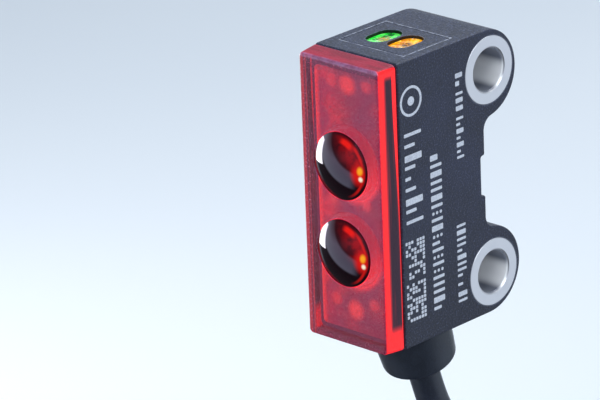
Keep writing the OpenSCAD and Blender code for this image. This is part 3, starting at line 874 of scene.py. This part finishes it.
def make_light(name, node, slot, x, material, seed):
    """A light guide with a top of small facets that catch the light."""
    draw = random.Random(seed)
    top = GUIDE_TOP
    outline = stadium(LIGHT_R - 0.03, LIGHT_L - 0.03, (x, INSERT_Y), steps=8)
    bm = bmesh.new()
    low = [bm.verts.new((a, b, 8.75)) for a, b in outline]
    rim = [bm.verts.new((a, b, top - 0.04)) for a, b in outline]
    inner = []
    for a, b in outline:
        side_a, side_b = x + (a - x) * 0.55, INSERT_Y + (b - INSERT_Y) * 0.55
        inner.append(bm.verts.new((side_a, side_b, top - draw.uniform(0, 0.12))))
    ridge = [bm.verts.new((x + draw.uniform(-0.1, 0.1), INSERT_Y + s, top - draw.uniform(0, 0.1)))
             for s in (-0.5, 0.1, 0.6)]
    count = len(outline)
    for k in range(count):
        after = (k + 1) % count
        bm.faces.new((low[k], low[after], rim[after], rim[k]))
        bm.faces.new((rim[k], rim[after], inner[k]))
        bm.faces.new((rim[after], inner[after], inner[k]))
    bm.faces.new(list(reversed(low)))
    nearest = [min(range(3), key=lambda i, p=p: abs(ridge[i].co.y - p.co.y)) for p in inner]
    for k in range(count):
        after = (k + 1) % count
        bm.faces.new((inner[k], inner[after], ridge[nearest[k]]))
        if nearest[k] != nearest[after]:
            bm.faces.new((inner[after], ridge[nearest[after]], ridge[nearest[k]]))
    piece(name, bm, material, slot, node, sharp=4)


make_insert()
green = light_material("green_light", (6, 96, 30), (40, 232, 60), (176, 98, 30), (120, 255, 120))
amber = light_material("amber_light", (196, 110, 4), (255, 184, 22), (92, 58, 20), (255, 214, 90))
make_light("green_light_window", "green_light_guide", "green_light", -LIGHT_X, green, 11)
make_light("amber_light_window", "amber_light_guide", "amber_light", LIGHT_X, amber, 5)

# ---- Cable boot ----


def along_boot(a, b, height):
    """Places a point given about the boot's axis; height runs down it from the housing."""
    tilt = radians(BOOT_TILT)
    x0, y0, z0 = BOOT_TOP
    return (x0 + a, y0 + b * cos(tilt) + height * sin(tilt), z0 + b * sin(tilt) - height * cos(tilt))


def make_boot():
    """A moulded boot, round ended, cut off along the housing's slanting underside."""
    tip_r, round_r = 2.8, 0.4
    profile = [(0, -2), (3.2, -2), (3.06, 0)]
    profile += [(tip_r - round_r + round_r * cos(radians(a)), BOOT_L - round_r + round_r * sin(radians(a)))
                for a in range(0, 91, 10)]
    profile += [(CABLE_R + 0.12, BOOT_L), (CABLE_R + 0.02, BOOT_L - 0.1), (CABLE_R, BOOT_L - 0.3),
                (0, BOOT_L - 0.3)]
    bm = turned(profile, along_boot, segments=96)
    sunk = 0.25
    cut_away = bmesh.ops.bisect_plane(
        bm, geom=bm.verts[:] + bm.edges[:] + bm.faces[:], plane_co=(0, 0, -HALF_H + sunk),
        plane_no=(0, 0, 1), clear_outer=True)
    rim = [e for e in cut_away["geom_cut"] if isinstance(e, bmesh.types.BMEdge)]
    bmesh.ops.holes_fill(bm, edges=rim)
    material = moulded("boot_rubber", (28, 34, 46), (50, 58, 74), 0.44, grain=8, grain_mm=0.01, wear=0.2)
    piece("moulded_boot", bm, material, "boot", "cable_boot", sharp=40)


make_boot()

# ---- Cable tie round the coil ----


def at_tie(x, outward, along):
    """A point at the tie: outward from the coil's axis, and along the turns."""
    angle = radians(10)
    reach = COIL_R + outward
    return (x, COIL_Y + reach * cos(angle) - along * sin(angle),
            COIL_Z + reach * sin(angle) + along * cos(angle))


def make_tie():
    """A nylon strap round the three passes of cable, its head inside the coil, its tail cut short."""
    strap_w, thickness, lip = 2.3, 0.55, 0.12
    path = rounded_rect(3.76, 1.24, 1.1, steps=8)
    outside = inset(path, -thickness)
    rings = []
    for (a0, b0), (a1, b1) in zip(path, outside):
        half, rim = strap_w / 2, strap_w / 2 - lip
        across_strap = [(0, -rim), (0, rim), (lip, half), (thickness - lip, half), (thickness, rim),
                        (thickness, -rim), (thickness - lip, -half), (lip, -half)]
        ring = []
        for out, along in across_strap:
            share = out / thickness
            ring.append(at_tie(a0 + (a1 - a0) * share, b0 + (b1 - b0) * share, along))
        rings.append(ring)
    rings.append(rings[0])
    bm = bmesh.new()
    skin_rings(bm, rings, cap_start=False, cap_end=False)
    bmesh.ops.remove_doubles(bm, verts=bm.verts, dist=1e-5)
    material = moulded("tie_nylon", (20, 20, 22), (40, 40, 44), 0.36, grain=5, grain_mm=0.006)

    def headward(a, b, level):
        return at_tie(a, -level, b)

    head = rounded_rect(1.5, 1.7, 0.35, middle=(1, 0))
    head = prism(head, 1.75, 3.9, headward, edge_low=0.2, edge_high=0.25)
    tail = prism(rounded_rect(0.26, 1.05, 0.1, middle=(1.25, 0)), 3.7, 5.0, headward, edge_high=0.08)
    tooth = rounded_rect(0.1, 0.8, 0.04, steps=2, middle=(1.56, 0))
    teeth = [prism(tooth, 4.0 + 0.25 * k, 4.12 + 0.25 * k, headward) for k in range(4)]
    return piece("cable_strap", together(bm, head, tail, *teeth), material, "tie", "cable_tie")


tie_piece = make_tie()

# ---- Round connector ----


def on_plug(a, b, z):
    """Places a point given about the connector's axis."""
    return (a, PLUG_Y + b, z)


GRIP_TOP = PLUG_TOP - 5.5
GRIP_BOTTOM = PLUG_TOP - 17.2
NECK_BOTTOM = PLUG_TOP - 22
SLEEVE_TOP = GRIP_BOTTOM - 0.3
SHOULDER = SLEEVE_TOP - 6
SLEEVE_BOTTOM = SHOULDER - 6
GRIP_R, NECK_R = 4.4, 3.35


def make_grip():
    """The moulded grip: a ribbed strain relief that tapers to the cable, and rings for the fingers."""
    groove, groove_w, lip = 0.35, 0.7, 0.1
    profile = [(CABLE_R - 0.05, PLUG_TOP), (CABLE_R + 0.4, PLUG_TOP), (CABLE_R + 0.5, PLUG_TOP - 0.12)]
    for k in range(4):
        z = PLUG_TOP - 0.9 - 1.1 * k
        r = CABLE_R + 0.5 + 1.5 * (PLUG_TOP - z) / 5.5
        profile += [(r - 0.02, z), (r - 0.25, z - 0.08), (r - 0.2, z - 0.42), (r + 0.1, z - 0.5)]
    profile += [(3.2, GRIP_TOP), (GRIP_R - 0.6, GRIP_TOP - 0.02)]
    profile += [(GRIP_R - 0.6 + 0.6 * sin(radians(a)), GRIP_TOP - 0.62 + 0.6 * cos(radians(a)))
                for a in range(15, 91, 15)]
    for k in reversed(range(5)):
        low = GRIP_BOTTOM + 2 + 1.8 * k
        high = low + groove_w
        shoulder = GRIP_R - lip * 0.4
        profile += [(GRIP_R, high + lip), (shoulder, high + lip * 0.2), (GRIP_R - groove, high - lip),
                    (GRIP_R - groove, low + lip), (shoulder, low - lip * 0.2), (GRIP_R, low - lip)]
    profile += [(GRIP_R, GRIP_BOTTOM + 0.25), (GRIP_R - 0.25, GRIP_BOTTOM), (NECK_R, GRIP_BOTTOM)]
    collar = NECK_BOTTOM + 1.3
    profile += [(NECK_R, collar + 0.8), (3.7, collar + 0.75), (3.7, collar + 0.05), (NECK_R, collar)]
    profile += [(NECK_R, NECK_BOTTOM), (CABLE_R - 0.05, NECK_BOTTOM)]
    bm = turned(profile, on_plug, closed=True, segments=96)
    material = moulded("grip_plastic", (30, 32, 38), (54, 56, 64), 0.5, grain=6, grain_mm=0.012, wear=0.4)
    return piece("connector_grip", bm, material, "grip", "connector_body", sharp=40)


def make_sleeve():
    """The coupling sleeve: straight knurling above, a helical M8 thread below, bored right through."""
    ridges, pitch, root_r, crest = 24, 1.0, 3.4, 0.55
    thread_top = SHOULDER - 1

    def reach(radius, z, angle):
        if radius > 4.5:
            return radius + 0.25 * max(0.0, cos(ridges * angle)) ** 0.6
        if radius != root_r:
            return radius
        phase = (z / pitch + angle / (2 * pi)) % 1
        height = min(1, max(0, 1.5 * (1 - abs(2 * phase - 1)) - 0.15))
        fade = min(1, max(0, (thread_top - z) / 0.5), max(0, (z - SLEEVE_BOTTOM) / 0.6))
        return root_r + crest * height * fade

    bore_r = NECK_R + 0.07
    profile = [(NECK_R + 0.15, SLEEVE_TOP), (4.2, SLEEVE_TOP), (4.45, SLEEVE_TOP - 0.15),
               (4.6, SLEEVE_TOP - 0.4)]
    profile += [(4.6, SHOULDER + 0.5), (4.45, SHOULDER + 0.2), (4.3, SHOULDER), (3.45, SHOULDER),
                (3.39, SHOULDER - 0.06)]
    rows = 50
    profile += [(root_r, thread_top - (thread_top - SLEEVE_BOTTOM) * k / rows) for k in range(rows + 1)]
    profile += [(3.2, SLEEVE_BOTTOM), (3.05, SLEEVE_BOTTOM + 0.12), (2.97, SLEEVE_BOTTOM + 0.3)]
    profile += [(2.97, NECK_BOTTOM - 0.2), (bore_r, NECK_BOTTOM - 0.2), (bore_r, NECK_BOTTOM + 1.15)]
    profile += [(3.77, NECK_BOTTOM + 1.15), (3.77, NECK_BOTTOM + 2.25), (bore_r, NECK_BOTTOM + 2.25)]
    profile += [(bore_r, SLEEVE_TOP - 0.1)]
    bm = turned(profile, on_plug, closed=True, segments=192, reach=reach)
    material = metal("nickel_sleeve", (206, 206, 202), (140, 138, 132), 0.22, stretch=(1, 1, 0.1), per_mm=5)
    return piece("knurled_sleeve", bm, material, "coupling", "coupling_sleeve", body="coupling", sharp=30)


def make_contacts():
    """The insulator with its skirt and key slot, and four pins with rounded tips."""
    low = SLEEVE_BOTTOM + 0.4
    face = NECK_BOTTOM - 1.4
    profile = [(0, NECK_BOTTOM), (2.9, NECK_BOTTOM), (2.9, low + 0.1), (2.82, low), (2.58, low),
               (2.5, low + 0.1), (2.5, face - 0.1), (2.4, face), (0, face)]
    key_slot = box_mesh((-0.4, PLUG_Y - 4, low - 1), (0.4, PLUG_Y - 2, low + 2.4))
    bm = carved(turned(profile, on_plug, segments=72), key_slot)
    black = moulded("insulator_plastic", (34, 34, 36), (62, 62, 66), 0.45, grain=6, grain_mm=0.006)
    insulator = piece("pin_insulator", bm, black, "insulator", "contact_carrier", sharp=30)
    tip = ((0.4, 1.35), (0.36, 1.12), (0.24, 0.96), (0.1, 0.905), (0, 0.9))
    profile = [(0, NECK_BOTTOM), (0.4, NECK_BOTTOM)] + [(r, SLEEVE_BOTTOM + h) for r, h in tip]
    pins = []
    for k in range(4):
        angle = radians(45 + 90 * k)
        x, y = 1.5 * cos(angle), 1.5 * sin(angle)
        pins.append(turned(profile, lambda a, b, h, x=x, y=y: (x + a, PLUG_Y + y + b, h), segments=24))
    gold = metal("gold_plating", (232, 190, 104), (188, 140, 66), 0.22, per_mm=8)
    contacts = piece("contact_pin_group", together(*pins), gold, "gold_metal", "contact_pins")
    return [insulator, contacts]


def make_ring_seal():
    profile = arc((3.8, SHOULDER - 0.5), 0.4, 0, 360, 18)[:-1]
    bm = turned(profile, on_plug, closed=True, segments=96)
    red = moulded("seal_rubber", (150, 28, 26), (190, 52, 44), 0.5, grain=5, grain_mm=0.008)
    return piece("sleeve_ring_seal", bm, red, "ring_seal", "connector_seal", body="coupling")


plug_pieces = [make_grip(), make_sleeve(), *make_contacts(), make_ring_seal()]

# ---- Generic marks on the marked side ----


def make_marks():
    """A ring with a dot, bars, cells and dashes in light ink, a hair proud of the side. No lettering."""
    ink_low, ink_high = HALF_W - 0.02, HALF_W + 0.012
    ring_y, dot_r, ring_r, ring_w = -8.45, 0.34, 0.95, 0.2
    draw = random.Random(31)
    outlines = []

    def tile(y, z, half_y, half_z, corner=0.06):
        radius = min(corner, half_y * 0.8, half_z * 0.8)
        outlines.append(rounded_rect(half_y, half_z, radius, steps=3, middle=(y, z)))

    outlines.append(arc((ring_y, HOLE_Z), dot_r, 0, 360, 32)[:-1])
    top = 5.5
    bars = ((0.9, 0.26), (0.55, 0.26), (0.9, 0.5), (0.55, 0.26), (0.3, 0.26), (0.55, 0.26),
            (0.9, 0.5), (0.55, 0.26), (0.9, 0.26))
    for k, (length, thick) in enumerate(bars):
        tile(-9.28 + length, top - 0.83 * k - thick / 2, length, thick / 2)
    cell = 0.3
    for row in range(21):
        for column in range(7):
            z = -2.85 - cell * row
            if abs(z + 5.85) > 0.12 and draw.random() < 0.62:
                tile(-9.35 + cell * column, z, 0.115, 0.115, 0.04)
    z = 3.1
    while z > -8.9:
        thick = draw.choice((0.12, 0.12, 0.22))
        if draw.random() < 0.3:
            for y in (-6.4, -6.0, -5.6):
                tile(y, z - 0.12, 0.12, 0.12, 0.1)
            z -= 0.52
        else:
            length = draw.choice((0.6, 0.6, 0.4))
            tile(-6.6 + length, z - thick, length, thick)
            z -= 2 * thick + 0.3
    for low, high, y, reach in ((2.15, 8.55, -3.3, 0.38), (-9.05, -3.05, -3.45, 0.48)):
        z = high
        while z > low:
            thick = draw.choice((0.1, 0.1, 0.18))
            length = draw.choice((reach, reach, reach * 0.55))
            tile(y - reach + length, z - thick, length, thick)
            z -= 2 * thick + draw.choice((0.24, 0.24, 0.5))
    bm = bmesh.new()
    for outline in outlines:
        skin_rings(bm, [[(x, a, b) for a, b in outline] for x in (ink_low, ink_high)])
    outer_r = ring_r + ring_w
    section = ((ink_low, ring_r), (ink_high, ring_r), (ink_high, outer_r), (ink_low, outer_r))
    ring = [[(x, a, b) for a, b in arc((ring_y, HOLE_Z), r, 0, 360, 72)[:-1]] for x, r in section]
    skin_rings(bm, [*ring, ring[0]], cap_start=False, cap_end=False)
    bmesh.ops.remove_doubles(bm, verts=bm.verts, dist=1e-5)
    skin = Skin("light_ink")
    fine = skin.noise(9, 3)
    broad = skin.noise(1.1, 3)
    tone = skin.mix(fine.step(0.35, 0.7), (216, 220, 228), (190, 194, 206))
    tone = skin.mix(broad.step(0.5, 0.8) * 0.4, tone, (150, 154, 170))
    ink = skin.set(Base_Color=tone, Roughness=fine.span(0.5, 0.65), Normal=skin.bump(fine, 0.01))
    piece("side_marks", bm, ink, sharp=30)


make_marks()

# ---- Finishes of the CAD nodes that stay as they are ----


def wire_material():
    """Four cores side by side: brown, white, blue and black."""
    skin = Skin("core_insulation")
    fine = skin.noise(6, 2)
    tone = skin.mix(skin.x.step(-0.63, -0.61), (98, 56, 30), (226, 226, 220))
    tone = skin.mix(skin.x.step(-0.01, 0.01), tone, (38, 74, 168))
    tone = skin.mix(skin.x.step(0.61, 0.63), tone, (34, 34, 36))
    tone = skin.mix(fine.step(0.4, 0.7) * 0.15, tone, (120, 120, 120))
    return skin.set(Base_Color=tone, Roughness=fine.span(0.35, 0.5), Normal=skin.bump(fine, 0.01))


def board_material():
    """Green solder mask over faint tracks."""
    skin = Skin("circuit_board")
    tracks = skin.cells(1.6).step(0.28, 0.34)
    fine = skin.noise(9, 2)
    tone = skin.mix(tracks * 0.6, (14, 74, 44), (24, 106, 62))
    tone = skin.mix(fine.step(0.5, 0.8) * 0.25, tone, (60, 130, 84))
    return skin.set(
        Base_Color=tone, Roughness=fine.span(0.28, 0.4), Normal=skin.bump(tracks + fine * 0.2, 0.02),
        Coat_Weight=0.4, Coat_Roughness=0.15,
    )


def finish_nodes():
    board = board_material()
    gold = metal("contact_gold", (226, 184, 96), (176, 132, 64), 0.25)
    tin = metal("tinned_steel", (200, 202, 206), (150, 152, 158), 0.32)
    black = moulded("inner_black", (24, 24, 27), (44, 44, 48), 0.55)
    chip = moulded("chip_resin", (26, 27, 30), (46, 47, 52), 0.6, grain=10)
    finishes = {
        "window_seal": moulded("gasket_rubber", (12, 10, 13), (26, 22, 27), 0.6, grain=8),
        "light_baffle receiver_aperture": black,
        "laser_diode laser_leads board_pins": gold,
        "laser_holder": metal("holder_brass", (196, 150, 84), (146, 106, 58), 0.34),
        "receiver_chip control_chip output_transistors": chip,
        "optics_board main_board indicator_board": board,
        "capacitors": moulded("capacitor_ceramic", (150, 118, 84), (186, 156, 118), 0.5),
        "emc_shield cable_clamp": tin,
        "flex_strip": moulded("flex_polyimide", (172, 96, 30), (206, 134, 54), 0.35, coat=0.3),
        "green_led": moulded("green_emitter", (196, 224, 190), (222, 240, 216), 0.4),
        "amber_led": moulded("amber_emitter", (228, 214, 170), (242, 232, 198), 0.4),
        "cable_inner_end": moulded("inner_jacket", (30, 32, 40), (52, 55, 66), 0.5, grain=9),
        "inner_wires": wire_material(),
    }
    for names, material in finishes.items():
        for name in names.split():
            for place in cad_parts[name].material_slots:
                place.material = material


finish_nodes()

# ---- Floor, surroundings and lights ----


def make_floor():
    """A plain pale floor, well below the hanging connector."""
    bm = bmesh.new()
    bmesh.ops.create_grid(bm, x_segments=4, y_segments=4, size=6000)
    bmesh.ops.translate(bm, vec=(0, 0, -104), verts=bm.verts)
    mesh = mesh_of(bm, "floor")
    floor = add_object("floor", mesh)
    skin = Skin("pale_floor")
    cloud = skin.noise(0.004, 2)
    tone = skin.mix(cloud.span(), (228, 236, 244), (240, 245, 250))
    mesh.materials.append(skin.set(Base_Color=tone, Roughness=cloud.span(0.7, 0.85)))
    floor.visible_glossy = False


def facing(azimuth, elevation):
    """Unit vector from the sensor towards a direction, angles as for the camera."""
    a, e = radians(azimuth), radians(elevation)
    return Vector((sin(a) * cos(e), -cos(a) * cos(e), sin(e)))


def make_world():
    """A soft studio surround: dim, with pale reflectors where glossy faces mirror them."""
    world = bpy.data.worlds.new("surround")
    world.use_nodes = True
    tree = world.node_tree
    direction = tree.nodes.new("ShaderNodeTexCoord").outputs["Generated"]
    split = tree.nodes.new("ShaderNodeSeparateXYZ")
    tree.links.new(direction, split.inputs[0])
    height = Field(tree, split.outputs[2])

    def along(axis):
        dot = tree.nodes.new("ShaderNodeVectorMath")
        dot.operation = "DOT_PRODUCT"
        tree.links.new(direction, dot.inputs[0])
        dot.inputs[1].default_value = axis
        return Field(tree, dot.outputs["Value"])

    def patch(azimuth, elevation, outer, inner, low=0.0, high=1.0):
        """A soft round patch of the surround, its radii in degrees."""
        return along(facing(azimuth, elevation)).step(cos(radians(outer)), cos(radians(inner)), low, high)

    light = height.step(-0.5, 0.2, 0.1, 0.5) * height.step(1.0, 0.2, 0.5, 1.0)
    light = light + patch(138, -18, 40, 18) * 0.85 + patch(-136, 22, 38, 17.1) * 0.5
    light = light + patch(-136, -20, 44, 24) * height.between(-0.5, -0.16, 0.08) * 1.6
    start, end = facing(-80, 13), facing(-10, -36)
    middle = (start + end).normalized()
    band = along(start.cross(end).normalized()).abs().step(sin(radians(18)), sin(radians(12)))
    light = light + band * along(middle).step(cos(radians(48)), cos(radians(34))) * 2.1
    light = light * patch(-44, 34, 42, 22, 1.0, 0.3)
    sky = tree.nodes["Background"]
    sky.inputs["Color"].default_value = (*srgb(214, 226, 240), 1)
    feed(tree, sky.inputs["Strength"], light)
    scene.world = world


def softbox(name, azimuth, elevation, distance, width, height, watts, colour=(1, 1, 1)):
    """A rectangular lamp aimed at the sensor; distances in metres, angles as for the camera."""
    back = facing(azimuth, elevation)
    data = bpy.data.lights.new(name, "AREA")
    data.shape = "RECTANGLE"
    data.size, data.size_y = width, height
    data.energy = watts
    data.color = colour
    lamp = add_object(name, data)
    lamp.location = Vector((0, -0.004, 0)) + back * distance
    lamp.rotation_mode = "QUATERNION"
    lamp.rotation_quaternion = back.to_track_quat("Z", "Y")


make_floor()
make_world()
softbox("left_softbox", -85, -7, 0.28, 0.13, 0.12, 0.6)
softbox("front_fill", 15, 38, 0.9, 0.5, 0.4, 2.6, (0.92, 0.95, 1.0))
softbox("right_fill", 75, 40, 0.9, 0.5, 0.5, 2.2, (0.86, 0.92, 1.0))
softbox("top_back", 175, 62, 0.6, 0.5, 0.3, 2.4, (0.9, 0.95, 1.0))
